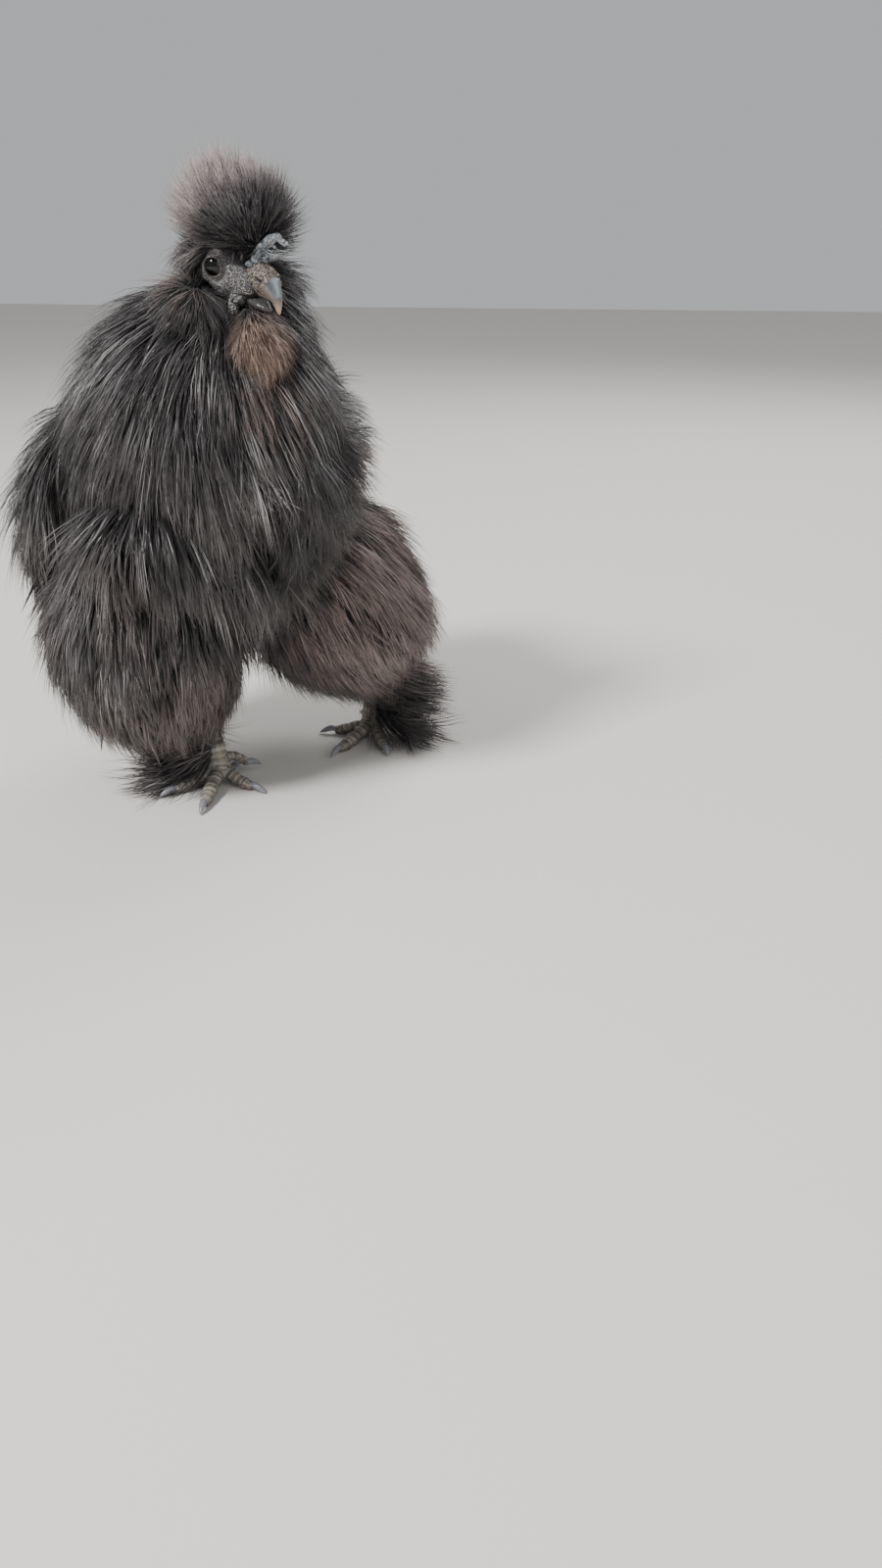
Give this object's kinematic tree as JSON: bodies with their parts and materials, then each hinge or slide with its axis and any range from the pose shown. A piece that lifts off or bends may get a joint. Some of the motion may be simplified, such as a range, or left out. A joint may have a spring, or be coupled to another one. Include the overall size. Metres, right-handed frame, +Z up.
{
  "type": "silkie chicken figure",
  "caption": "Life-size silkie chicken in mid-step with its head turned, a round feather crest, a low comb, a beard, drooping wings and feathered feet.",
  "frame": {"origin": "on the floor under the middle of the bounding box", "axes": "+Z up, the bird's chest faces -Y, its left side is +X"},
  "size_m": [0.2458, 0.2478, 0.3485],
  "materials": {
    "plumage": "soft black-brown silky feathers with a faint blue-grey sheen",
    "crest_plumage": "soft dark taupe-brown feathers",
    "beard_plumage": "soft brown feathers",
    "thigh_plumage": "soft brown-grey fluffy feathers",
    "face_skin": "grey pebbled bare skin",
    "comb_skin": "rough blue-grey skin",
    "beak_horn": "slate-blue horn with a tan tip",
    "eye": "near-black wet gloss",
    "foot_skin": "grey scaled skin with black foot feathers",
    "claw_horn": "dark grey horn"
  },
  "bodies": {
    "root": {"torso": "plumage", "neck": "plumage", "tail": "plumage", "head": "face_skin", "crest": "crest_plumage", "beard": "beard_plumage", "comb": "comb_skin", "beak_upper": "beak_horn", "beak_lower": "beak_horn", "muff_right": "beard_plumage", "eye_right": "eye", "wing_right": "plumage", "thigh_right": "thigh_plumage", "foot_right": "foot_skin", "claw_right_1": "claw_horn", "claw_right_2": "claw_horn", "claw_right_3": "claw_horn", "claw_right_4": "claw_horn", "claw_right_5": "claw_horn", "muff_left": "beard_plumage", "eye_left": "eye", "wing_left": "plumage", "thigh_left": "thigh_plumage", "foot_left": "foot_skin", "claw_left_1": "claw_horn", "claw_left_2": "claw_horn", "claw_left_3": "claw_horn", "claw_left_4": "claw_horn", "claw_left_5": "claw_horn"}
  },
  "joints": []
}
